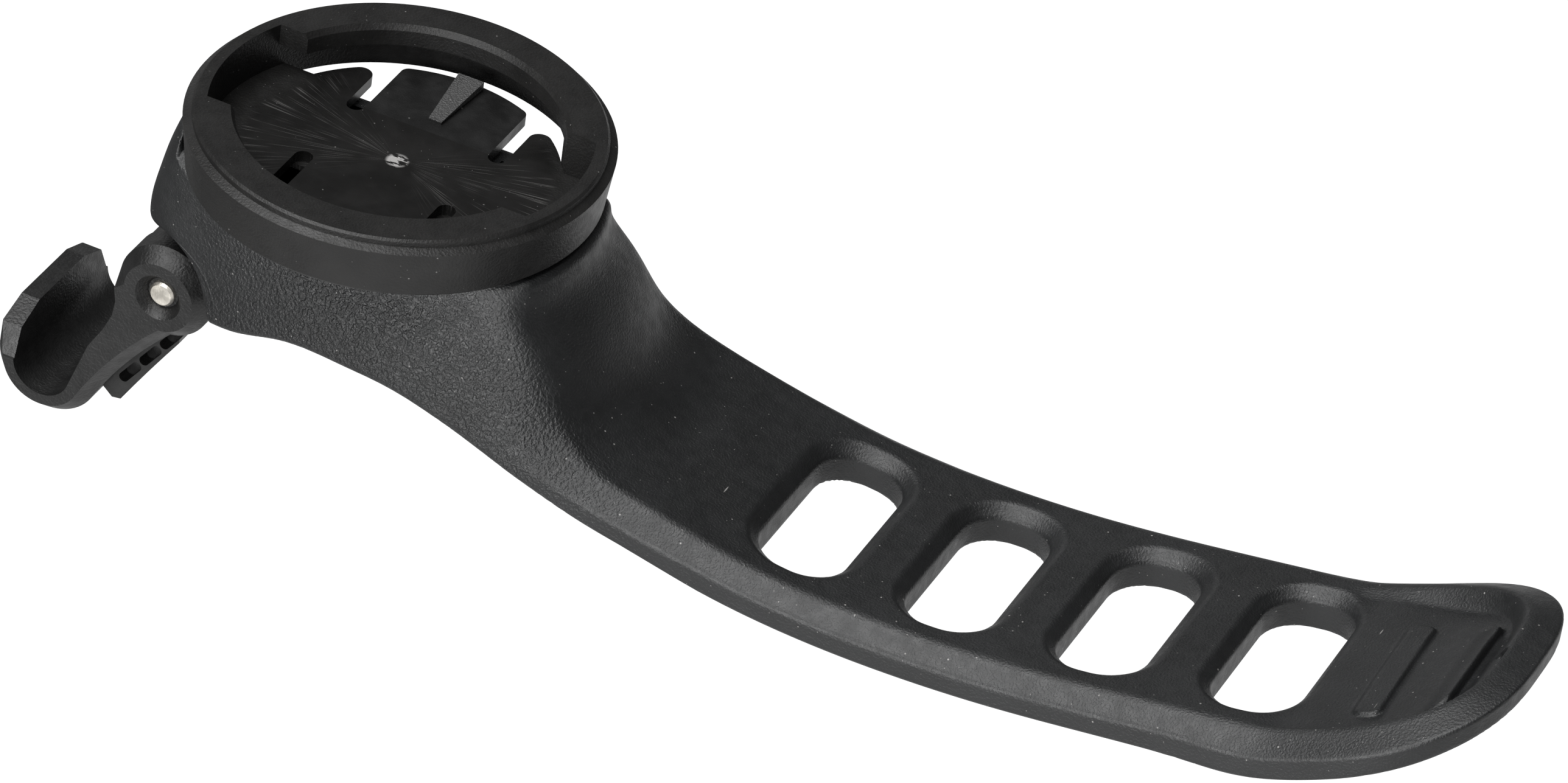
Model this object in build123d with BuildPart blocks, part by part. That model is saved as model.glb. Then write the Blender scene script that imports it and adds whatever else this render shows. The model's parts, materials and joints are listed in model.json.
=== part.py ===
from build123d import *
import os
from math import atan2, cos, degrees, radians, sin, sqrt

# Flexible handlebar mount for a cycling computer. Millimetres.
# Origin: centre of the dock's top rim. +Z is the dock's axis, out of the socket.
# +X runs along the strap to the pull tab, and Y is the hinge pin's direction.

# Quarter-turn dock
LIP_R = 13.75            # inner radius of the two retaining lips
NOTCH_R = 16.1           # radius of the groove under the lips and of the two entry notches
NOTCH_HALF = 6.4         # half the width of an entry notch
LIP_T = 1.95             # thickness of the lips
LIP_CHAMFER = 0.35       # inner edge of the lips, across
LIP_CHAMFER_H = 0.5      # and down
STOP_T = 1.6             # thickness of the two stop walls, each at the end of one entry notch
RIM_R = 17.28            # outer radius of the top rim
RIM_CHAMFER = 0.2
RIM_STEP = 0.65          # height of the small step below the rim
WALL_TOP_R = 18.0
WALL_BOTTOM_R = 17.5
RIM_H = 5.4              # height of the ring
FLOOR_Z = -4.16          # top of the socket floor
FLOOR_T = 1.0
FLOOR_HALF = 7.15        # half the width of the floor where it runs out under the notches
PETAL_R = 13.7           # outer radius of the floor's free edges
PETAL_CORNER = 1.0
SLOT_X = 6.65            # centre line of the four floor slots
SLOT_W = 1.6
SLOT_BACK = 5.2          # where the two back slots start
SLOT_FRONT = 4.0         # where the two front slots start
FINGER_HALF = SLOT_X - SLOT_W / 2
BOSS = (22.0, 8.0, 2.2)  # block under the floor that stands in the hinge frame

# Detent rib on the sprung finger
RIB_IN = 6.7
RIB_OUT = 13.2
RIB_HALF_IN = 0.6
RIB_HALF_OUT = 1.2
RIB_H_IN = 0.25
RIB_H_OUT = 0.9

# Hinge
PIN_X = -16.7
PIN_Z = -20.3
PIN_R = 1.15
PIN_HALF = 7.7           # the pin ends sit a little below the hook's side faces
PIN_GAP = 0.05           # running clearance in the barrel
BARREL_R = 4.2
BARREL_HALF = 3.95
FRAME_HALF = 7.0         # half width of the hard core inside the rubber

# Hook
HOOK_HALF = 8.2
EAR_IN = 4.15            # inner face of the hook's two ears
EAR_R = 4.35
EAR_RELIEF_R = 4.75      # hollow in the hook round the barrel
HOOK_CHAMFER = 1.4       # along the width
HOOK_CHAMFER_R = 1.1     # across it
RECESS_R = 2.15          # countersink round each pin end
TROUGH_X = -27.0
TROUGH_Z = -31.9
TROUGH_R = 2.7
TROUGH_OUT_R = 4.8
LIP_TOP_Z = -28.5
LIP_LAND_HALF = 3.85
PAD_HALF = 5.0
PAD_T = 1.8
PAD_POCKET = (1.9, 0.9, 1.3)   # length, height and depth of the pockets in the pad's sides
PAD_PITCH = 3.0

# Rubber body and strap
BODY_TOP_Z = -5.65
BODY_TOP_R = 18.0
HEEL_IN_R = 17.85        # at the hinge end the rubber comes up a little outside the ring
HEEL_TOP_Z = -3.9
STRAP_HALF = 13.3
STRAP_T = 3.45
EDGE_IN = 1.9            # the strap's top edge bevel, across
EDGE_DOWN = 1.4          # and down
RELIEF_R = 5.4           # hollow in the rubber round the hinge
TAB_HALF = 13.74         # the pull tab is a little wider than the strap
TAB_END_X = 103.97
TAB_X = 76.0             # where the strap starts to widen
TAB_ROUND_X = 88.0
HOLE_FIRST_X = 42.45
HOLE_PITCH = 13.45
HOLE_COUNT = 4
HOLE_HALF_X = 3.85
HOLE_HALF_Y = 8.5
HOLE_CORNER = 3.4
HOLE_BEVEL = 1.1
HOLE_BEVEL_DEPTH = 1.0
FIRST_FLEX_X = 24.5
FINGER_BAY = (6.3, 4.6, 14.3, 1.6)   # half width, start, end and depth of the room under the finger

os.makedirs("parts", exist_ok=True)


# ---- dock cup -------------------------------------------------------------------------------
with BuildPart() as dock_cup:
    with BuildSketch(Plane.XZ):
        with BuildLine():
            Polyline(
                (LIP_R + LIP_CHAMFER, 0),
                (RIM_R - RIM_CHAMFER, 0),
                (RIM_R, -RIM_CHAMFER),
                (RIM_R, -RIM_STEP),
                (WALL_TOP_R, -RIM_STEP - 0.33),
                (WALL_BOTTOM_R, -RIM_H + 0.3),
                (WALL_BOTTOM_R - 0.3, -RIM_H),
                (NOTCH_R, -RIM_H),
                (NOTCH_R, -LIP_T),
                (LIP_R, -LIP_T),
                (LIP_R, -LIP_CHAMFER_H),
                close=True,
            )
        make_face()
    revolve(axis=Axis.Z)
    # entry notches for the computer's two tabs
    with BuildSketch():
        Circle(NOTCH_R)
        Rectangle(2 * NOTCH_R, 2 * NOTCH_HALF, mode=Mode.INTERSECT)
    extrude(amount=-LIP_T - 0.5, mode=Mode.SUBTRACT)
    # stop walls: the tabs can only turn clockwise out of the notches
    with BuildSketch(Plane.XY.offset(-LIP_T + 0.1)):
        with Locations((LIP_R, NOTCH_HALF + STOP_T / 2), (-LIP_R, -NOTCH_HALF - STOP_T / 2)):
            Rectangle(12, STOP_T)
        Circle(NOTCH_R + 0.2, mode=Mode.INTERSECT)
        Circle(LIP_R, mode=Mode.SUBTRACT)
    extrude(amount=LIP_T - 0.1 - RIM_H)
    # floor: full width under the notches, free at PETAL_R under the lips
    with BuildSketch(Plane.XY.offset(FLOOR_Z)) as floor:
        Circle(NOTCH_R + 0.2)
        Rectangle(2 * NOTCH_R + 1, 2 * FLOOR_HALF, mode=Mode.INTERSECT)
        Circle(PETAL_R)
        for end in (1, -1):
            start = SLOT_BACK if end > 0 else SLOT_FRONT
            length = NOTCH_R - start
            for x in (SLOT_X, -SLOT_X):
                with Locations((x, end * (start + length / 2))):
                    Rectangle(SLOT_W, length, mode=Mode.SUBTRACT)
                with Locations((x, end * (start + 0.02))):
                    Circle(SLOT_W / 2, mode=Mode.SUBTRACT)
        corners = [v for v in floor.vertices() if abs(v.Y) > 8 and abs(abs(v.X) - SLOT_X - SLOT_W / 2) < 0.01]
        fillet(corners, PETAL_CORNER)
        with Locations((0, SLOT_BACK + NOTCH_R / 2)):
            Rectangle(2 * FINGER_HALF + 0.02, NOTCH_R, mode=Mode.SUBTRACT)
    extrude(amount=-FLOOR_T)
    # block that carries the cup on the hinge frame
    with BuildSketch(Plane.XY.offset(FLOOR_Z - FLOOR_T)):
        RectangleRounded(BOSS[0], BOSS[1], 1.5)
    extrude(amount=-BOSS[2])

# ---- detent finger: the sprung tongue of the floor with its click rib ------------------------------
with BuildPart() as detent_finger:
    with BuildSketch(Plane.XY.offset(FLOOR_Z)):
        Circle(PETAL_R)
        with Locations((0, SLOT_BACK + NOTCH_R / 2)):
            Rectangle(2 * FINGER_HALF, NOTCH_R, mode=Mode.INTERSECT)
    extrude(amount=-FLOOR_T)
    fillet(detent_finger.edges().filter_by(Axis.Z).group_by(Axis.Y)[-1], 0.8)
    with BuildSketch(Plane.XY.offset(FLOOR_Z - 0.2)):
        with BuildLine():
            Polyline(
                (-RIB_HALF_IN, RIB_IN),
                (RIB_HALF_IN, RIB_IN),
                (RIB_HALF_OUT, RIB_OUT),
                (-RIB_HALF_OUT, RIB_OUT),
                close=True,
            )
        make_face()
    extrude(amount=RIB_H_OUT + 0.2)
    # the rib's top slopes down towards the middle of the dock
    with BuildSketch(Plane.YZ):
        with BuildLine():
            Polyline(
                (RIB_IN - 1, FLOOR_Z + RIB_H_IN),
                (RIB_IN, FLOOR_Z + RIB_H_IN),
                (RIB_OUT, FLOOR_Z + RIB_H_OUT),
                (RIB_OUT, FLOOR_Z + 2),
                (RIB_IN - 1, FLOOR_Z + 2),
                close=True,
            )
        make_face()
    extrude(amount=3, both=True, mode=Mode.SUBTRACT)

# ---- hinge frame: the hard core that the rubber is moulded round ------------------------------------
FRAME_TOP_Z = FLOOR_Z - FLOOR_T - BOSS[2]
with BuildPart() as hinge_frame:
    with BuildSketch(Plane.XZ):
        with BuildLine():
            Polyline(
                (-12.5, BODY_TOP_Z),
                (12.5, BODY_TOP_Z),
                (12.5, -12.0),
                (9.0, -14.2),
                (-6.0, -14.2),
                (-9.0, -12.8),
                (-12.5, -12.8),
                close=True,
            )
        make_face()
    extrude(amount=FRAME_HALF, both=True)
    with BuildSketch(Plane.XY.offset(BODY_TOP_Z)):
        RectangleRounded(BOSS[0], BOSS[1], 1.5)
    extrude(amount=FRAME_TOP_Z - BODY_TOP_Z, mode=Mode.SUBTRACT)
    with Locations((0, (FINGER_BAY[1] + FINGER_BAY[2]) / 2, BODY_TOP_Z)):
        Box(2 * FINGER_BAY[0], FINGER_BAY[2] - FINGER_BAY[1], 2 * FINGER_BAY[3], mode=Mode.SUBTRACT)
    # arm down to the barrel
    with BuildSketch(Plane.XZ):
        with BuildLine():
            Polyline(
                (PIN_X - 0.6, PIN_Z + 2),
                (-15.4, -12.0),
                (-12.0, -9.5),
                (-9.5, -13.0),
                (-12.2, -16.0),
                (PIN_X + 2.5, PIN_Z - 1),
                close=True,
            )
        make_face()
        with Locations((PIN_X, PIN_Z)):
            Circle(BARREL_R)
    extrude(amount=BARREL_HALF, both=True)
    with BuildSketch(Plane.XZ):
        with Locations((PIN_X, PIN_Z)):
            Circle(PIN_R + PIN_GAP)
    extrude(amount=BARREL_HALF + 1, both=True, mode=Mode.SUBTRACT)

# ---- hinge pin ---------------------------------------------------------------------------------
with BuildPart() as hinge_pin:
    with BuildSketch(Plane.XZ):
        with Locations((PIN_X, PIN_Z)):
            Circle(PIN_R)
    extrude(amount=PIN_HALF, both=True)
    chamfer(hinge_pin.edges().filter_by(GeomType.CIRCLE), 0.2)

# ---- hook ----------------------------------------------------------------------------------------
HOOK_PLANE = Plane.XZ
ARM_TOP = (PIN_X - EAR_R * cos(radians(8)), PIN_Z + EAR_R * sin(radians(8)))
BACK_TOP = (PIN_X + 0.8, PIN_Z - sqrt(EAR_R**2 - 0.8**2))
BACK_MID = (-19.2, -28.4)
BACK_END = (TROUGH_X + TROUGH_OUT_R * cos(radians(24)), TROUGH_Z - TROUGH_OUT_R * sin(radians(24)))
OUT_LEFT = (TROUGH_X - TROUGH_OUT_R, TROUGH_Z)
LIP_OUT = (TROUGH_X - TROUGH_OUT_R + 0.2, LIP_TOP_Z)

with BuildPart() as hook:
    # outline of the knuckle, the arm and the rounded end; the sides are bevelled
    with BuildSketch(HOOK_PLANE) as outline:
        with BuildLine():
            Line(LIP_OUT, OUT_LEFT)
            ThreePointArc(OUT_LEFT, (TROUGH_X, TROUGH_Z - TROUGH_OUT_R), BACK_END)
            ThreePointArc(BACK_END, BACK_MID, BACK_TOP)
            ThreePointArc(BACK_TOP, (PIN_X + EAR_R * 0.7071, PIN_Z + EAR_R * 0.7071), ARM_TOP)
            Line(ARM_TOP, LIP_OUT)
        make_face()
    extrude(amount=HOOK_HALF - HOOK_CHAMFER)
    with BuildSketch(HOOK_PLANE.offset(HOOK_HALF - HOOK_CHAMFER)):
        add(outline.sketch_local)
    extrude(amount=HOOK_CHAMFER, taper=degrees(atan2(HOOK_CHAMFER_R, HOOK_CHAMFER)))
    mirror(about=Plane.XZ)
    # trough that the strap's holes slip over
    with BuildSketch(HOOK_PLANE):
        with BuildLine():
            Polyline(
                (TROUGH_X - TROUGH_R, TROUGH_Z),
                (TROUGH_X - TROUGH_R - 0.15, LIP_TOP_Z),
                (-40, LIP_TOP_Z),
                (-40, -10),
                (-22.6, -10),
                ARM_TOP,
                (-20.6, -22.3),
                (-20.8, -23.8),
                (-21.5, -25.5),
                (-22.8, -27.8),
                (TROUGH_X + TROUGH_R * cos(radians(22)), TROUGH_Z - TROUGH_R * sin(radians(22))),
                close=True,
            )
        make_face()
        with Locations((TROUGH_X, TROUGH_Z)):
            Circle(TROUGH_R)
    extrude(amount=HOOK_HALF + 1, both=True, mode=Mode.SUBTRACT)
    # the lip's corners are cut back so that a hole finds it easily
    with BuildSketch(Plane.YZ.offset(-36)):
        for side in (-1, 1):
            with BuildLine():
                Polyline(
                    (side * LIP_LAND_HALF, LIP_TOP_Z),
                    (side * 6.9, LIP_TOP_Z - 1.1),
                    (side * 8.0, LIP_TOP_Z - 3.6),
                    (side * 10, LIP_TOP_Z - 3.6),
                    (side * 10, LIP_TOP_Z + 1),
                    (side * LIP_LAND_HALF, LIP_TOP_Z + 1),
                    close=True,
                )
            make_face()
    extrude(amount=36 + TROUGH_X - TROUGH_R + 1.6, mode=Mode.SUBTRACT)
    # space between the ears for the barrel
    with BuildSketch(HOOK_PLANE):
        with Locations((PIN_X, PIN_Z)):
            Circle(EAR_RELIEF_R)
    extrude(amount=EAR_IN, both=True, mode=Mode.SUBTRACT)
    # pin holes and their countersinks
    with BuildSketch(HOOK_PLANE):
        with Locations((PIN_X, PIN_Z)):
            Circle(PIN_R)
    extrude(amount=HOOK_HALF + 1, both=True, mode=Mode.SUBTRACT)
    for side in (-1, 1):
        with BuildSketch(Plane.XZ.offset(side * HOOK_HALF)):
            with Locations((PIN_X, PIN_Z)):
                Circle(RECESS_R)
        with BuildSketch(Plane.XZ.offset(side * (HOOK_HALF - 1.0))):
            with Locations((PIN_X, PIN_Z)):
                Circle(PIN_R + 0.25)
        loft(mode=Mode.SUBTRACT)

# ---- hook pad: soft plate on the back of the hook, ribbed where it meets the bar --------------------
PAD_DIR = Vector(BACK_END[0] - BACK_TOP[0], 0, BACK_END[1] - BACK_TOP[1]).normalized()
PAD_OUT = Vector(-PAD_DIR.Z, 0, PAD_DIR.X)
PAD_ANGLE = degrees(atan2(PAD_DIR.Z, PAD_DIR.X))


def shifted(point, along, out):
    return (
        point[0] + PAD_DIR.X * along + PAD_OUT.X * out,
        point[1] + PAD_DIR.Z * along + PAD_OUT.Z * out,
    )


with BuildPart() as hook_pad:
    with BuildSketch(HOOK_PLANE):
        with BuildLine():
            ThreePointArc(BACK_END, BACK_MID, BACK_TOP)
            Line(BACK_TOP, shifted(BACK_TOP, 1.6, PAD_T - 0.6))
            ThreePointArc(
                shifted(BACK_TOP, 1.6, PAD_T - 0.6), shifted(BACK_MID, 0, PAD_T), shifted(BACK_END, -0.5, PAD_T)
            )
            Polyline(shifted(BACK_END, -0.5, PAD_T), shifted(BACK_END, 0.1, PAD_T - 0.6), BACK_END)
        make_face()
    extrude(amount=PAD_HALF, both=True)
    # pockets in both sides, between the ribs
    for side in (-1, 1):
        with BuildSketch(HOOK_PLANE.offset(side * PAD_HALF)):
            for number in (-1, 0, 1):
                with Locations(shifted(BACK_MID, number * PAD_PITCH, 0.95)):
                    SlotOverall(PAD_POCKET[0] + PAD_POCKET[1], PAD_POCKET[1], rotation=PAD_ANGLE)
        extrude(amount=-side * PAD_POCKET[2], mode=Mode.SUBTRACT)

# ---- rubber body and strap ---------------------------------------------------------------------------
# underside of the pedestal, (x, z); from x = 20 on the strap's own underside lies below it
LOW_POINTS = [(-24.0, -21.4), (-10.0, -19.5), (-3.0, -17.5), (4.0, -16.9), (11.0, -18.0), (20.0, -20.6), (36.0, -23.4)]
# strap: x, z of the top face, thickness
STRAP_STATIONS = [
    (20.0, -16.9, 3.7),
    (24.7, -18.15, 3.75),
    (29.5, -19.5, 3.6),
    (36.5, -21.0, 3.5),
    (45.2, -22.14, STRAP_T),
    (55.1, -22.1, STRAP_T),
    (64.8, -21.2, STRAP_T),
    (74.3, -19.9, STRAP_T + 0.1),
    (83.7, -18.4, 3.8),
    (88.0, -17.05, 3.85),
    (92.0, -15.2, 3.85),
    (96.0, -13.15, 3.75),
    (100.0, -10.95, 3.65),
    (105.0, -8.15, 3.5),
]


def interpolated_top(x):
    """Height of the strap's top face at x."""
    for (x0, z0, _), (x1, z1, _) in zip(STRAP_STATIONS, STRAP_STATIONS[1:]):
        if x0 <= x <= x1:
            return z0 + (z1 - z0) * (x - x0) / (x1 - x0)
    return STRAP_STATIONS[-1][1]


# the pedestal's drafted sides: x, half width and z at the lower edge, slope, height
SIDE_STATIONS = [
    (-24.0, 8.9, -15.0, 0.0, 11.6),
    (-13.0, 9.6, -15.5, 0.07, 12.1),
    (-8.0, 11.0, -15.4, 0.21, 12.0),
    (0.0, 12.6, -15.2, 0.38, 10.2),
    (10.0, 13.2, -16.1, 0.39, 11.1),
    (16.0, 13.3, -17.7, 0.43, 12.7),
    (21.0, 13.3, -19.2, 0.74, 8.0),
    (26.0, 13.3, -20.7, 1.1, 5.0),
    (34.0, 13.3, -22.4, 1.2, 4.0),
]

with BuildPart() as slab:
    flat = STRAP_HALF - EDGE_IN
    edge = EDGE_DOWN * (TAB_HALF - flat) / EDGE_IN
    sections = []
    for x, z, thick in STRAP_STATIONS:
        with BuildSketch(Plane.YZ.offset(x), mode=Mode.PRIVATE) as section:
            with BuildLine():
                Polyline(
                    (TAB_HALF, z - thick),
                    (TAB_HALF, z - edge),
                    (flat, z),
                    (-flat, z),
                    (-TAB_HALF, z - edge),
                    (-TAB_HALF, z - thick),
                    close=True,
                )
            make_face()
        sections.append(section.sketch)
    loft(sections)
    # plan outline: straight sides and the rounded pull tab
    with BuildSketch(Plane.XY.offset(-40)):
        with BuildLine():
            Polyline((TAB_X, STRAP_HALF), (18, STRAP_HALF), (18, -STRAP_HALF), (TAB_X, -STRAP_HALF))
            Spline(
                (TAB_X, -STRAP_HALF),
                (TAB_ROUND_X, -TAB_HALF),
                (94.0, -13.56),
                (98.0, -12.5),
                (101.0, -10.39),
                (103.0, -7.23),
                (TAB_END_X, 0),
                (103.0, 7.23),
                (101.0, 10.39),
                (98.0, 12.5),
                (94.0, 13.56),
                (TAB_ROUND_X, TAB_HALF),
                (TAB_X, STRAP_HALF),
                tangents=((1, 0), (-1, 0)),
            )
        make_face()
    extrude(amount=40, mode=Mode.INTERSECT)

# pedestal under the dock: round at the top, flaring out into the strap
with BuildPart() as rubber:
    with BuildSketch(Plane.YZ):
        with BuildLine():
            flare = Spline(
                (-BODY_TOP_R, BODY_TOP_Z), (-18.5, -8.4), (-20.6, -10.9), (-23.4, -15.3),
                (-27.2, -18.15), (-31.6, -19.6), (-38.2, -21.2), (-42.0, -21.9),
            )
            Polyline(flare @ 0, (0, BODY_TOP_Z), (0, -34), (-42.0, -34), flare @ 1)
        make_face()
    revolve(axis=Axis.Z, revolution_arc=180)
    with BuildSketch(Plane.YZ):
        with BuildLine():
            Polyline(
                (0, BODY_TOP_Z), (HEEL_IN_R, BODY_TOP_Z), (HEEL_IN_R, HEEL_TOP_Z), (18.35, HEEL_TOP_Z),
                (18.95, -5.0), (19.6, -9.0), (20.1, -12.0), (20.0, -34), (0, -34),
                close=True,
            )
        make_face()
    revolve(axis=Axis.Z, revolution_arc=180)
    # underside
    with BuildSketch(Plane.XZ.offset(-30)):
        with BuildLine():
            under = Spline(*LOW_POINTS)
            Polyline(under @ 0, (-24, 0), (36, 0), under @ 1)
        make_face()
    extrude(amount=60, mode=Mode.INTERSECT)
    # drafted sides
    sections = []
    for x, half, z, slope, height in SIDE_STATIONS:
        with BuildSketch(Plane.YZ.offset(x), mode=Mode.PRIVATE) as section:
            with BuildLine():
                Polyline(
                    (half, -36), (half, z), (half - slope * height, z + height),
                    (slope * height - half, z + height), (-half, z), (-half, -36),
                    close=True,
                )
            make_face()
        sections.append(section.sketch)
    loft(sections, ruled=True, mode=Mode.INTERSECT)
    add(slab.part)

    # hollow round the hinge
    with BuildSketch(Plane.XZ.offset(-30)):
        with Locations((PIN_X, PIN_Z)):
            Circle(RELIEF_R)
    extrude(amount=60, mode=Mode.SUBTRACT)
    # room below the sprung finger
    with Locations((0, (FINGER_BAY[1] + FINGER_BAY[2]) / 2, BODY_TOP_Z)):
        Box(2 * FINGER_BAY[0], FINGER_BAY[2] - FINGER_BAY[1], 2 * FINGER_BAY[3], mode=Mode.SUBTRACT)
    # tapered strap holes with a bevel round the rim
    for number in range(HOLE_COUNT):
        x = HOLE_FIRST_X + number * HOLE_PITCH
        rim = interpolated_top(x)
        with BuildSketch(Plane.XY.offset(rim - 6)):
            with Locations((x, 0)):
                RectangleRounded(2 * HOLE_HALF_X, 2 * HOLE_HALF_Y, HOLE_CORNER)
        extrude(amount=12, mode=Mode.SUBTRACT)
        with BuildSketch(Plane.XY.offset(rim - HOLE_BEVEL_DEPTH)):
            with Locations((x, 0)):
                RectangleRounded(2 * HOLE_HALF_X, 2 * HOLE_HALF_Y, HOLE_CORNER)
        with BuildSketch(Plane.XY.offset(rim + 1)):
            with Locations((x, 0)):
                RectangleRounded(
                    2 * (HOLE_HALF_X + 2 * HOLE_BEVEL), 2 * (HOLE_HALF_Y + 2 * HOLE_BEVEL), HOLE_CORNER + HOLE_BEVEL
                )
        loft(mode=Mode.SUBTRACT)
    # the hard core
    add(hinge_frame.part, mode=Mode.SUBTRACT)
    with BuildSketch(Plane.XY.offset(BODY_TOP_Z)):
        RectangleRounded(BOSS[0], BOSS[1], 1.5)
    extrude(amount=FRAME_TOP_Z - BODY_TOP_Z, mode=Mode.SUBTRACT)

# the rubber is one moulding; it bends at the planes between these lengths
FLEX_X = [FIRST_FLEX_X] + [HOLE_FIRST_X + HOLE_PITCH * (number - 0.5) for number in range(HOLE_COUNT + 1)]
LENGTHS = ["rubber_body", "strap_1", "strap_2", "strap_3", "strap_4", "strap_5", "pull_tab"]
cuts = [-40.0] + FLEX_X + [110.0]
for name, start, stop in zip(LENGTHS, cuts, cuts[1:]):
    with BuildPart() as length:
        add(rubber.part)
        with Locations(((start + stop) / 2, 0, -20)):
            Box(stop - start, 60, 60, mode=Mode.INTERSECT)
    length.part.label = name
    export_step(length.part, f"parts/{name}.step")

for name, node in (
    ("dock_cup", dock_cup),
    ("detent_finger", detent_finger),
    ("hinge_frame", hinge_frame),
    ("hinge_pin", hinge_pin),
    ("hook", hook),
    ("hook_pad", hook_pad),
):
    node.part.label = name
    export_step(node.part, f"parts/{name}.step")
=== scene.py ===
import json
import math

import bmesh
import bpy
import numpy as np
from mathutils import Matrix, Vector


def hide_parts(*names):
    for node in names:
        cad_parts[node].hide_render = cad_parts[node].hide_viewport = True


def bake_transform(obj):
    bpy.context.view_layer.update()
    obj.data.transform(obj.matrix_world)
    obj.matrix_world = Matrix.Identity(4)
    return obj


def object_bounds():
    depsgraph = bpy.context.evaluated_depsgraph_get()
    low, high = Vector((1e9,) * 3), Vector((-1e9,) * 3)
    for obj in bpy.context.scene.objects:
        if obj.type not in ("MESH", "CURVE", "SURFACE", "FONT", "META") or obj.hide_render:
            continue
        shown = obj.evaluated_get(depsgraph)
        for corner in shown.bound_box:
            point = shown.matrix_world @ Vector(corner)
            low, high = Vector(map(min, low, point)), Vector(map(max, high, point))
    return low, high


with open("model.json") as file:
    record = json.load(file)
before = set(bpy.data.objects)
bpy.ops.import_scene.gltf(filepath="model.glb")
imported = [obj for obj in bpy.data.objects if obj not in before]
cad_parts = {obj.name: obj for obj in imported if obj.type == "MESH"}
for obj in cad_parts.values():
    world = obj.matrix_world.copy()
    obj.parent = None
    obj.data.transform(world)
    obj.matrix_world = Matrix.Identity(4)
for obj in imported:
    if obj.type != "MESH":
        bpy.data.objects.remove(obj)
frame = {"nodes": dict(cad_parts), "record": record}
cad_low, cad_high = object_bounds()
MM = 0.001  # shapes are worked out in millimetres, the scene is in metres
joints = {j["name"]: j for j in frame["record"]["behaviour"]["joints"]}
PIN = [v / MM for v in joints["hook_pivot"]["pos_m"]]
FLEXES = [f"strap_flex_{n}" for n in range(1, 7)]
FLEX_X = [joints[name]["pos_m"][0] / MM for name in FLEXES]


# ---- shaping tools -----------------------------------------------------------------------------
def spline(points):
    """A natural cubic spline through points (t, v), as a function of t."""
    t = np.array([p[0] for p in points], float)
    v = np.array([p[1] for p in points], float)
    n = len(t)
    h = np.diff(t)
    a = np.zeros((n, n))
    b = np.zeros(n)
    a[0, 0] = a[-1, -1] = 1
    for i in range(1, n - 1):
        a[i, i - 1 : i + 2] = h[i - 1], 2 * (h[i - 1] + h[i]), h[i]
        b[i] = 6 * ((v[i + 1] - v[i]) / h[i] - (v[i] - v[i - 1]) / h[i - 1])
    m = np.linalg.solve(a, b)
    fine = np.linspace(t[0], t[-1], 4001)
    i = np.clip(np.searchsorted(t, fine) - 1, 0, n - 2)
    d, e = t[i + 1] - fine, fine - t[i]
    out = (m[i] * d**3 + m[i + 1] * e**3) / (6 * h[i])
    out += (v[i] / h[i] - m[i] * h[i] / 6) * d + (v[i + 1] / h[i] - m[i + 1] * h[i] / 6) * e
    return lambda q: np.interp(q, fine, out)


def smax(a, b, k):
    """Larger of two fields, with an edge rounded over about k."""
    h = np.maximum(k - np.abs(a - b), 0) / k
    return np.maximum(a, b) + h * h * k / 4


def smin(a, b, k):
    """Smaller of two fields, with an edge rounded over about k."""
    return -smax(-a, -b, k)


def step(q, low, high):
    """Smooth rise from 0 at low to 1 at high."""
    s = np.clip((q - low) / (high - low), 0, 1)
    return s * s * (3 - 2 * s)


def round_rect(x, y, hx, hy, r):
    """Distance to a rounded rectangle centred at 0."""
    qx, qy = np.abs(x) - hx + r, np.abs(y) - hy + r
    return np.hypot(np.maximum(qx, 0), np.maximum(qy, 0)) + np.minimum(np.maximum(qx, qy), 0) - r


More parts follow.
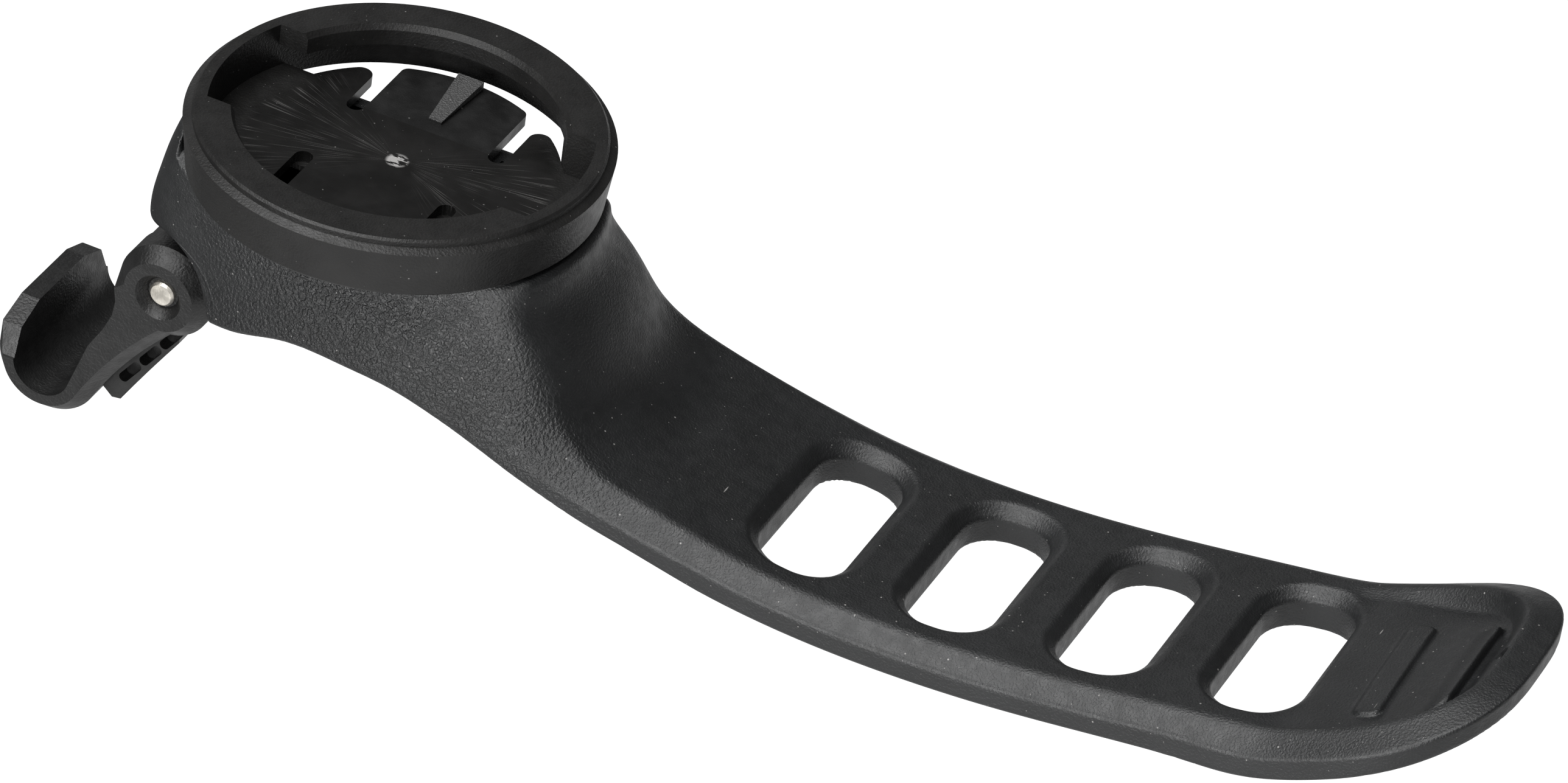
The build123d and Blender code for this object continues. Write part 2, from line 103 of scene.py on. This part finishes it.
def surface(field, xs, ys, zs, lift=None, keep=None):
    """Quad mesh of field = 0 on a grid. lift(x) raises the grid's columns, keep skips empty space.
    Returns points, quads, each point's grid column and its outward normal."""
    gx, gy, gz = np.meshgrid(xs, ys, zs, indexing="ij")
    if lift is not None:
        gz = gz + lift(xs)[:, None, None]
    values = np.ones(gx.shape)
    mask = np.ones(gx.shape, bool) if keep is None else keep(gx, gy, gz)
    values[mask] = field(gx[mask], gy[mask], gz[mask])
    inside = values < 0
    corners = [(i, j, k) for i in (0, 1) for j in (0, 1) for k in (0, 1)]
    shape = tuple(n - 1 for n in gx.shape)

    def corner(a, c):
        return a[c[0] : c[0] + shape[0], c[1] : c[1] + shape[1], c[2] : c[2] + shape[2]]

    count = sum(corner(inside, c).astype(np.int8) for c in corners)
    cells = np.argwhere((count > 0) & (count < 8))
    number = -np.ones(shape, np.int64)
    number[tuple(cells.T)] = np.arange(len(cells))
    at = {c: tuple((cells + c).T) for c in corners}
    value = {c: values[at[c]] for c in corners}
    place = {c: np.stack([gx[at[c]], gy[at[c]], gz[at[c]]], 1) for c in corners}
    total, hits = np.zeros((len(cells), 3)), np.zeros(len(cells))
    for a in corners:
        for b in corners:
            if sum(b) - sum(a) == 1 and all(q >= p for p, q in zip(a, b)):
                crosses = (value[a] < 0) != (value[b] < 0)
                with np.errstate(divide="ignore", invalid="ignore"):
                    t = np.where(crosses, value[a] / (value[a] - value[b]), 0)
                total += np.where(crosses[:, None], place[a] + t[:, None] * (place[b] - place[a]), 0)
                hits += crosses
    points = total / hits[:, None]

    quads = []
    for axis in range(3):
        u, v = [(1, 2), (2, 0), (0, 1)][axis]
        first = [slice(None)] * 3
        second = [slice(None)] * 3
        first[axis], second[axis] = slice(None, -1), slice(1, None)
        where = np.argwhere(inside[tuple(first)] != inside[tuple(second)])
        ok = (where[:, u] > 0) & (where[:, v] > 0) & (where[:, u] < shape[u]) & (where[:, v] < shape[v])
        where = where[ok]
        du, dv = np.zeros(3, int), np.zeros(3, int)
        du[u], dv[v] = 1, 1
        ring = [where - du - dv, where - dv, where, where - du]
        quad = np.stack([number[tuple(r.T)] for r in ring], 1)
        outward = inside[tuple(where.T)]
        quad[~outward] = quad[~outward][:, ::-1]
        quads.append(quad)
    quads = np.concatenate(quads)

    def slope(p, e=0.02):
        g = []
        for axis in range(3):
            d = np.zeros(3)
            d[axis] = e
            g.append((field(*(p + d).T) - field(*(p - d).T)) / (2 * e))
        return np.stack(g, 1)

    for _ in range(4):  # Newton steps on to the exact surface
        g = slope(points)
        size = np.maximum((g * g).sum(1), 0.25)
        move = -field(*points.T)[:, None] * g / size[:, None]
        length = np.linalg.norm(move, axis=1)[:, None]
        points = points + move * np.minimum(1, 0.15 / np.maximum(length, 1e-9))
    normal = slope(points, 0.06)
    normal /= np.linalg.norm(normal, axis=1)[:, None]
    return points, quads, cells[:, 0], normal


def piece(name, points, quads, normals, material):
    """A closed Blender mesh from points in millimetres, smooth shaded with the given normals."""
    used = np.unique(quads)
    index = -np.ones(len(points), int)
    index[used] = np.arange(len(used))
    mesh = bpy.data.meshes.new(name)
    mesh.from_pydata((points[used] * MM).tolist(), [], index[quads].tolist())
    bm = bmesh.new()
    bm.from_mesh(mesh)
    bmesh.ops.holes_fill(bm, edges=[e for e in bm.edges if e.is_boundary], sides=0)
    bm.to_mesh(mesh)
    bm.free()
    mesh.shade_smooth()
    mesh.normals_split_custom_set_from_vertices(normals[used].tolist())
    mesh.materials.append(material)
    obj = bpy.data.objects.new(name, mesh)
    bpy.context.scene.collection.objects.link(obj)
    return obj


# ---- materials -----------------------------------------------------------------------------------
class Shader:
    """A Principled material with small helpers for building its node tree."""

    def __init__(self, name, metallic=0.0, specular=0.5):
        self.data = bpy.data.materials.new(name)
        self.data.use_nodes = True
        self.nodes, self.links = self.data.node_tree.nodes, self.data.node_tree.links
        self.out = self.nodes["Principled BSDF"]
        self.out.inputs["Metallic"].default_value = metallic
        self.out.inputs["Specular IOR Level"].default_value = specular
        self.where = self.nodes.new("ShaderNodeTexCoord").outputs["Object"]
        split = self.nodes.new("ShaderNodeSeparateXYZ")
        self.links.new(self.where, split.inputs[0])
        self.x, self.y, self.z = split.outputs
        self.bumped = None

    def feed(self, socket, value):
        if isinstance(value, bpy.types.NodeSocket):
            self.links.new(value, socket)
        else:
            socket.default_value = value

    def math(self, kind, a, b=0.0):
        node = self.nodes.new("ShaderNodeMath")
        node.operation = kind
        self.feed(node.inputs[0], a)
        self.feed(node.inputs[1], b)
        return node.outputs[0]

    def times(self, a, b):
        return self.math("MULTIPLY", a, b)

    def either(self, a, b):
        return self.math("MAXIMUM", a, b)

    def size(self, a):
        return self.math("ABSOLUTE", a)

    def across(self, a, b):
        """Distance from an axis, from the two offsets a and b."""
        return self.math("SQRT", self.math("ADD", self.math("POWER", a, 2.0), self.math("POWER", b, 2.0)))

    def ramp(self, value, low, high, start=0.0, stop=1.0):
        """Smooth change from start, at low, to stop, at high."""
        node = self.nodes.new("ShaderNodeMapRange")
        node.interpolation_type = "SMOOTHSTEP"
        self.feed(node.inputs["Value"], value)
        for socket, number in (("From Min", low), ("From Max", high), ("To Min", start), ("To Max", stop)):
            node.inputs[socket].default_value = number
        return node.outputs["Result"]

    def stretched(self, scale, turn=0.0):
        """The object's coordinates, scaled and turned about Z, to draw out a texture."""
        node = self.nodes.new("ShaderNodeMapping")
        node.inputs["Scale"].default_value = scale
        node.inputs["Rotation"].default_value = (0, 0, turn)
        self.links.new(self.where, node.inputs["Vector"])
        return node.outputs[0]

    def noise(self, scale, detail=3.0, vector=None):
        node = self.nodes.new("ShaderNodeTexNoise")
        node.inputs["Scale"].default_value = scale
        node.inputs["Detail"].default_value = detail
        self.links.new(vector or self.where, node.inputs["Vector"])
        return node.outputs["Fac"]

    def dots(self, scale, size, share, vector=None):
        """Scattered specks: cells of 1/scale, a share of which hold a dot of the given size."""
        node = self.nodes.new("ShaderNodeTexVoronoi")
        node.inputs["Scale"].default_value = scale
        self.links.new(vector or self.where, node.inputs["Vector"])
        tone = self.nodes.new("ShaderNodeSeparateColor")
        self.links.new(node.outputs["Color"], tone.inputs[0])
        near = self.ramp(node.outputs["Distance"], size * 0.5, size, 1.0, 0.0)
        return self.math("MULTIPLY", near, self.ramp(tone.outputs[0], 1 - share, 1.001 - share * 0.6))

    def grain(self, scale, low=0.3, high=0.7):
        """Height of a fine grain."""
        return self.ramp(self.noise(scale, 2.0), low, high)

    def mottle(self, dark, light, scale, detail=5.0):
        """Colour that wanders between two."""
        return self.mix(dark, light, self.ramp(self.noise(scale, detail), 0.35, 0.65))

    def patches(self, low, high, scale=900, detail=6.0):
        """Roughness that wanders between two values."""
        return self.ramp(self.noise(scale, detail), 0.3, 0.7, low, high)

    def mix(self, a, b, amount):
        node = self.nodes.new("ShaderNodeMix")
        node.data_type = "RGBA"
        self.feed(node.inputs["Factor"], amount)
        self.feed(node.inputs["A"], a)
        self.feed(node.inputs["B"], b)
        return node.outputs["Result"]

    def bump(self, height, distance):
        node = self.nodes.new("ShaderNodeBump")
        node.inputs["Strength"].default_value = 1.0
        node.inputs["Distance"].default_value = distance
        self.feed(node.inputs["Height"], height)
        if self.bumped is not None:
            self.links.new(self.bumped, node.inputs["Normal"])
        self.bumped = node.outputs["Normal"]

    def finish(self, color, roughness):
        self.feed(self.out.inputs["Base Color"], color)
        self.feed(self.out.inputs["Roughness"], roughness)
        if self.bumped is not None:
            self.links.new(self.bumped, self.out.inputs["Normal"])
        return self.data


def grey(v, warm=0.0):
    return (v * (1 + warm), v, v * (1 - warm), 1)


def rubber_material():
    """Leather grain on the body's sides, fine grain and lint everywhere, a moulding seam round the pin."""
    m = Shader("rubber")
    leather = m.times(m.ramp(m.x, 0.016, 0.034, 1.0, 0.0), m.ramp(m.size(m.y), 0.0075, 0.0115))
    m.bump(m.times(m.grain(3300, 0.32, 0.68), leather), 8e-5)
    from_pin = m.across(m.math("ADD", m.x, -PIN[0] * MM), m.math("ADD", m.z, -PIN[2] * MM))
    seam = m.ramp(m.size(m.math("ADD", from_pin, -0.0065)), 0.00006, 0.00016, 1.0, 0.0)
    m.bump(m.times(seam, m.ramp(m.x, -0.0115, -0.0105, 1.0, 0.0)), 1.2e-4)
    m.bump(m.grain(5000), 1.9e-5)
    dust = m.either(m.dots(900, 0.09, 0.4), m.dots(1700, 0.09, 0.3))
    fibre = m.dots(900, 0.06, 0.16, m.stretched((1, 0.12, 1), 0.6))
    hair = m.dots(800, 0.05, 0.14, m.stretched((1, 0.1, 1), -0.9))
    lint = m.either(dust, m.either(fibre, hair))
    base = m.mottle(grey(0.0066, -0.05), grey(0.0096, -0.05), 170)
    return m.finish(m.mix(base, grey(0.26, 0.03), m.times(lint, 0.75)), m.patches(0.42, 0.52))


def dock_material():
    """Matt plastic. The dock's floor is smoother, with scratches fanning from a gate mark at its centre."""
    m = Shader("dock_plastic", specular=0.39)
    reach = m.across(m.x, m.y)
    floor = m.times(m.ramp(m.z, -0.0040, -0.0037, 1.0, 0.0), m.ramp(reach, 0.0125, 0.0135, 1.0, 0.0))

    fan = m.nodes.new("ShaderNodeCombineXYZ")
    m.feed(fan.inputs[0], m.times(m.math("ARCTAN2", m.y, m.x), 75.0))
    m.feed(fan.inputs[1], m.times(reach, 110.0))
    streak = m.ramp(m.noise(1.0, 3.0, fan.outputs[0]), 0.56, 0.68)
    level = m.math("DIVIDE", m.size(m.y), m.either(reach, 0.0005))
    streak = m.times(streak, m.ramp(level, 0.3, 0.8, 1.0, 0.0))
    streak = m.times(streak, m.ramp(m.noise(260, 2.0), 0.36, 0.54))
    long_marks = m.dots(600, 0.06, 0.4, m.stretched((0.07, 1, 1), 0.12))
    scratch = m.times(m.either(streak, long_marks), floor)
    torn = m.ramp(m.noise(1900, 5.0, m.stretched((0.5, 1.3, 1), 0.3)), 0.44, 0.5)
    gate = m.times(m.times(m.ramp(reach, 0.0007, 0.0011, 1.0, 0.0), torn), floor)

    m.bump(m.times(m.grain(4500), m.ramp(floor, 0, 1, 1.0, 0.15)), 1.3e-5)
    m.bump(gate, 6e-5)
    dust = m.either(m.dots(1000, 0.09, 0.3), m.dots(1900, 0.09, 0.25))
    color = m.mottle(grey(0.0055, 0.03), grey(0.0090, 0.03), 190)
    color = m.mix(color, grey(0.18, 0.02), m.times(dust, 0.7))
    color = m.mix(color, grey(0.12, 0.02), m.times(scratch, 0.6))
    color = m.mix(color, grey(0.34, 0.02), gate)
    smooth = m.times(m.patches(0.30, 0.42, 500), floor)
    matt = m.times(m.patches(0.40, 0.50), m.math("SUBTRACT", 1.0, floor))
    return m.finish(color, m.math("ADD", smooth, matt))


def rib_material():
    """The dock's plastic, with the click rib rougher and paler."""
    m = Shader("detent_plastic")
    rib = m.times(m.ramp(m.z, -0.00405, -0.0039), m.ramp(m.size(m.x), 0.0013, 0.0015, 1.0, 0.0))
    m.bump(m.times(m.grain(6000, 0.35, 0.65), m.ramp(rib, 0, 1, 0.1, 1.0)), 4e-5)
    base = m.mix(m.mottle(grey(0.0055), grey(0.0090), 190), grey(0.06), m.times(rib, 0.8))
    return m.finish(m.mix(base, grey(0.11, 0.02), m.dots(1000, 0.1, 0.3)), m.patches(0.32, 0.5, 500))


def hook_material():
    m = Shader("hook_plastic")
    m.bump(m.grain(4200, 0.32, 0.68), 1.8e-5)
    base = m.mottle(grey(0.0030), grey(0.0050), 190)
    return m.finish(m.mix(base, grey(0.1, 0.02), m.dots(1000, 0.06, 0.2)), m.patches(0.42, 0.54))


def pad_material():
    m = Shader("pad_rubber")
    m.bump(m.grain(1600), 8e-6)
    return m.finish(m.mottle(grey(0.012), grey(0.02), 240, 4.0), m.patches(0.2, 0.34, 900, 4.0))


def steel_material():
    m = Shader("pin_steel", metallic=1.0)
    m.bump(m.ramp(m.noise(1500, 3.0), 0.3, 0.7), 1.2e-5)
    m.bump(m.noise(900, 2.0, m.stretched((8, 1, 1))), 6e-6)
    color = m.mottle((0.78, 0.74, 0.66, 1), (0.93, 0.89, 0.81, 1), 700, 4.0)
    return m.finish(color, m.patches(0.28, 0.45, 1300, 4.0))


rubber_mat = rubber_material()
dock_mat = dock_material()
rib_mat = rib_material()
hook_mat = hook_material()
pad_mat = pad_material()
steel_mat = steel_material()


# ---- rubber: body, strap and pull tab in one field -----------------------------------------------
# top and bottom: height of the strap's upper and lower face along x
top = spline([
    (10, -14.2), (16, -15.0), (20, -16.3), (22.3, -17.2), (24.7, -18.15), (27.1, -18.9), (31.8, -20.0),
    (36.5, -21.0), (41.9, -21.84), (48.5, -22.2), (55.1, -22.08), (61.6, -21.62), (68, -20.86),
    (74.3, -19.92), (80.6, -18.93), (84, -18.35), (86, -17.83), (88, -17.04), (92, -15.21),
    (96, -13.15), (100, -10.94), (105, -8.1),
])
bottom = spline([
    (-24, -21.6), (-14, -20.4), (-8.3, -19.2), (-3.9, -17.5), (2.7, -16.9), (7.5, -17.2), (12.1, -18.3),
    (16.8, -19.7), (21.5, -21.1), (26.1, -22.4), (30.7, -23.4), (35.3, -24.4), (39.8, -25.1),
    (48.5, -25.65), (55.1, -25.53), (61.6, -25.07), (68, -24.31), (74.3, -23.42), (80.6, -22.6),
    (84, -22.1), (88, -20.88), (92, -19.05), (96, -16.9), (100, -14.6), (105, -11.65),
])
# flare and heel: radius of the body under the dock at height z, on the strap's side and on the hook's
flare = spline([(-24, 33.5), (-22.5, 31), (-20.5, 28.6), (-18.2, 25.9), (-15.4, 23.5), (-12.2, 21.5),
                (-10.6, 20.3), (-8, 18.4), (-5.5, 18.0), (-3, 17.9)])
heel = spline([(-24, 19.6), (-15, 20.0), (-12, 20.1), (-9, 19.6), (-6, 18.9), (-4.5, 18.4), (-3, 17.9)])
# edge_y: half width of the rubber. edge_z and lean: height and slant of the chamfer along its top edge
edge_y = spline([(-24, 8.2), (-13, 9.5), (-8, 11.0), (0, 12.6), (6, 13.1), (10, 13.25), (14, 13.3),
                 (30, 13.3), (105, 13.3)])
edge_z = spline([(-24, -15.6), (-13, -15.5), (-8, -15.4), (0, -15.3), (5, -15.5), (10, -16.2),
                 (16, -17.7), (21, -19.2), (26, -20.5), (30, -21.4), (36, -22.45), (42, -23.27),
                 (48.5, -23.62)])
lean = spline([(-24, 0.02), (-13, 0.07), (-8, 0.21), (0, 0.37), (10, 0.40), (16, 0.44), (18.9, 0.55),
               (21, 0.76), (24.5, 1.0), (30, 1.09), (36, 1.22), (42, 1.32), (50, 1.34), (105, 1.34)])
HOLE_X, HOLE_PITCH = 42.45, 13.45
HOLE_HALF, HOLE_CORNER = (3.85, 8.5), 3.4
HOLES = [HOLE_X + HOLE_PITCH * n for n in range(4)]
TAB_X, TAB_LONG, TAB_HALF, TAB_POWER = 86.18, 14.86, 11.4, 3.12  # superellipse round the tab's end


def tab_edge(x, y):
    """Distance outside the crease line round the top face; for x below TAB_X, |y| - TAB_HALF."""
    u, v = np.maximum(x - TAB_X, 0) / TAB_LONG, np.abs(y) / TAB_HALF
    rho = np.maximum((u**TAB_POWER + v**TAB_POWER) ** (1 / TAB_POWER), 1e-6)
    gu = (u / rho) ** (TAB_POWER - 1) / TAB_LONG
    gv = (v / rho) ** (TAB_POWER - 1) / TAB_HALF
    return (rho - 1) / np.maximum(np.hypot(gu, gv), 1e-6)


def ridge(x, y):
    """Height of the two ribs across the pull tab: a low flat one, and a wedge with a groove behind it."""
    flat = round_rect(x - 92.45 + 0.03 * y, y + 1.3, 1.15, 7.1, 0.9)
    across = x - 98.7
    wedge = 0.75 * step(across, -1.95, 0) * step(-across, -0.5, 0)
    groove = 0.25 * step(-np.abs(across - 1.0), -1.1, 0)
    ends = step(np.minimum(y + 8.6, 5.4 - y), 0, 1.0)
    return 0.4 * step(-flat, -0.2, 0.25) + (wedge - groove) * ends


def rubber(x, y, z):
    """Signed field of the whole moulding, negative inside."""
    e = tab_edge(x, y)
    side = e + TAB_HALF
    first, second = step(x, 76, 88), step(x, 88, 99)

    # upper face, sunk inside a raised edge on the tab; it closes off under the dock
    reach = np.where(y > 0, 2.2, 0.7) * (1 - 0.5 * step(x, 94, 99))
    sunk = (0.4 * step(x, 83.5, 87.5) + 0.7 * step(x, 86.5, 97)) * step(-e, 0.05, reach)
    drop = sunk * (1 + 0.45 * step(y, 0, 8))
    face = z - top(x) + drop - ridge(x, y) * step(-e, 0.3, 1.6) + 12 * step(-x, -8, 0)

    # body under the dock, with the dock's seat cut out of it
    r = np.hypot(x, y)
    right = step(x, -1.0, 1.0)
    wall = (r - (flare(z) * right + heel(z) * (1 - right))) * 0.85
    block = smax(wall, z + 5.65 - 1.8 * step(-x, 11, 15), 0.9)
    block = np.maximum(block, np.minimum(17.54 + 0.122 * (z + 5.1) - r, z + 5.46))
    body = smin(face, block, 2.2)

    # chamfer, sides and underside, rounded more towards the hook
    end = step(-x, 8, 15)
    soft = step(-x, -24, -12)
    width = edge_y(x) + 0.45 * first + 0.55 * second
    level = np.where(x < 48.5, edge_z(x), top(x) - 1.42 - 0.15 * first)
    s = lean(x) + 0.16 * first + 0.35 * second
    slant = (side - width + s * (z - level)) / np.sqrt(1 + s * s)
    body = smax(body, slant, 0.35 + 0.9 * soft + 1.5 * end)
    body = smax(body, side - width, 0.3 + 1.6 * soft)
    body = smax(body, bottom(x) - z, 0.35 + 0.7 * soft)

    # holes with bevelled mouths, then the hollow round the hinge
    for centre in HOLES:
        near = np.abs(x - centre) < 6.6
        if near.any():
            depth = z[near] - top(x[near])
            hole = round_rect(x[near] - centre, y[near], *HOLE_HALF, HOLE_CORNER)
            bevel = (hole - 1.1 * (1 + depth)) * 0.68
            body[near] = smax(body[near], -smin(hole, bevel, 0.2), 0.22)
    relief = 5.3 + 0.6 * step(z, -18, -14.5) - np.hypot(x - PIN[0], z - PIN[2])
    return smax(body, relief, 0.45 + 1.3 * step(-x, 13, 17))


GRID, HALF_CELLS = ((0.3, 48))
STRAP_X = 24.7  # the grid follows the strap's upper face from here on
xs = np.arange(-20.7, 104.9, GRID)
ys = (np.arange(-HALF_CELLS, HALF_CELLS) + 0.5) * GRID
zs = np.arange(-5.7, 15.3, GRID)


def lift(x):
    return np.where(x > STRAP_X, top(x), top(STRAP_X + 0 * x))


def keep(x, y, z):
    return (x < 34) | (z < top(x) + 1.6)


# The mesh is cut midway between the bends, so each piece holds one bend.
points, quads, column, normals = surface(rubber, xs, ys, zs, lift, keep)
BODIES = ["body", "strap_1", "strap_2", "strap_3", "strap_4", "strap_5", "pull_tab"]
cuts = [(a + b) / 2 for a, b in zip(FLEX_X, FLEX_X[1:])]
limits = [-1] + [int(np.searchsorted(xs, c)) for c in cuts] + [len(xs)]
last = column[quads].max(1)
for n, flex in enumerate(FLEXES):
    mine = (last > limits[n]) & (last <= limits[n + 1])
    part = piece(f"rubber_{n + 1}", points, quads[mine], normals, rubber_mat)
    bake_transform(part)
    if n == 0:
        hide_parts("rubber_body")
    elif n < 5:
        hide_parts(BODIES[n])
    else:
        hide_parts("strap_5", "pull_tab")


# ---- CAD pieces that stay, with softened edges ------------------------------------------------------
for node, material in (
    ("dock_cup", dock_mat),
    ("detent_finger", rib_mat),
    ("hinge_frame", dock_mat),
    ("hook", hook_mat),
    ("hook_pad", pad_mat),
    ("hinge_pin", steel_mat),
):
    obj = frame["nodes"][node]
    obj.data.materials.clear()
    obj.data.materials.append(material)
    soften = obj.modifiers.new("soft_edges", "BEVEL")
    soften.width = 0.15 * MM
    soften.use_clamp_overlap = node != "dock_cup"  # its short edges would shrink every bevel
    soften.segments = 2
    soften.limit_method = "ANGLE"
    soften.angle_limit = math.radians(28)
    soften.harden_normals = True


# ---- floor, lights, camera --------------------------------------------------------------------------
def settings(node, **numbers):
    """Set a node's inputs; an underscore in a name stands for a space."""
    for name, number in numbers.items():
        node.inputs[name.replace("_", " ")].default_value = number


def white_floor(drop=0.045, half=6):
    """A plain floor, white to the camera. It sheds light on the strap's side only, and lies low enough
    to stay clear of the strap when that is curled up."""
    z = cad_low.z - drop
    mesh = bpy.data.meshes.new("floor")
    corners = [(-half, -half, z), (half, -half, z), (half, half, z), (-half, half, z)]
    mesh.from_pydata(corners, [], [(0, 1, 2, 3)])
    floor = bpy.data.objects.new("floor", mesh)
    bpy.context.scene.collection.objects.link(floor)
    pale = bpy.data.materials.new("floor_white")
    pale.use_nodes = True
    nodes, links = pale.node_tree.nodes, pale.node_tree.links
    paint = nodes["Principled BSDF"]
    settings(paint, Base_Color=(0.12, 0.12, 0.12, 1), Roughness=0.9, Emission_Color=(1, 1, 1, 1))
    settings(paint, Specular_IOR_Level=0.1)
    split = nodes.new("ShaderNodeSeparateXYZ")
    links.new(nodes.new("ShaderNodeTexCoord").outputs["Object"], split.inputs[0])
    fade = nodes.new("ShaderNodeMapRange")
    fade.interpolation_type = "SMOOTHSTEP"
    settings(fade, From_Min=-0.10, From_Max=0.0, To_Min=0.0, To_Max=0.75)
    links.new(split.outputs[0], fade.inputs["Value"])
    bright = nodes.new("ShaderNodeMix")
    bright.inputs["B"].default_value = 1.0
    links.new(nodes.new("ShaderNodeLightPath").outputs["Is Camera Ray"], bright.inputs["Factor"])
    links.new(fade.outputs["Result"], bright.inputs["A"])
    links.new(bright.outputs["Result"], paint.inputs["Emission Strength"])
    mesh.materials.append(pale)
    return floor


white_floor()

# white to the camera, dim as a light
world = bpy.data.worlds.new("studio")
bpy.context.scene.world = world
world.use_nodes = True
nodes, links = world.node_tree.nodes, world.node_tree.links
backdrop = nodes["Background"]
settings(backdrop, Color=(1, 1, 1, 1))
shade = nodes.new("ShaderNodeMapRange")
settings(shade, To_Min=0.10, To_Max=1.0)
links.new(nodes.new("ShaderNodeLightPath").outputs["Is Camera Ray"], shade.inputs["Value"])
links.new(shade.outputs["Result"], backdrop.inputs["Strength"])


def softbox(name, place, size, watts, target=(0.035, 0, -0.015)):
    light = bpy.data.lights.new(name, "AREA")
    light.shape = "RECTANGLE"
    light.size, light.size_y = size
    light.energy = watts
    obj = bpy.data.objects.new(name, light)
    obj.location = place
    obj.rotation_euler = (Vector(target) - Vector(place)).to_track_quat("-Z", "Y").to_euler()
    bpy.context.scene.collection.objects.link(obj)


softbox("key", (-0.26, -0.36, 1.08), (1.2, 0.9), 22)
softbox("front", (-0.18, -1.25, 0.17), (1.1, 0.6), 21)
softbox("back", (-0.80, 1.05, 0.14), (0.9, 0.3), 0.8)

CAMERA_AT = (0.240553, -0.537433, 0.402568)
CAMERA_RIGHT = Vector((0.89521955, 0.42995295, 0.11714271))
CAMERA_UP = Vector((-0.34046278, 0.4902972, 0.80230527))
CAMERA_AHEAD = Vector((-0.28751877, 0.7581221, -0.58530662))
LENS, SENSOR = 198.75, 36

lens = bpy.data.cameras.new("camera")
lens.lens, lens.sensor_width = LENS, SENSOR
lens.clip_start, lens.clip_end = 0.05, 20
camera = bpy.data.objects.new("camera", lens)
turn = Matrix((CAMERA_RIGHT, CAMERA_UP, -CAMERA_AHEAD)).transposed().to_4x4()
camera.matrix_world = Matrix.Translation(CAMERA_AT) @ turn
bpy.context.scene.collection.objects.link(camera)
bpy.context.scene.camera = camera
bpy.context.scene.view_settings.view_transform = "Standard"
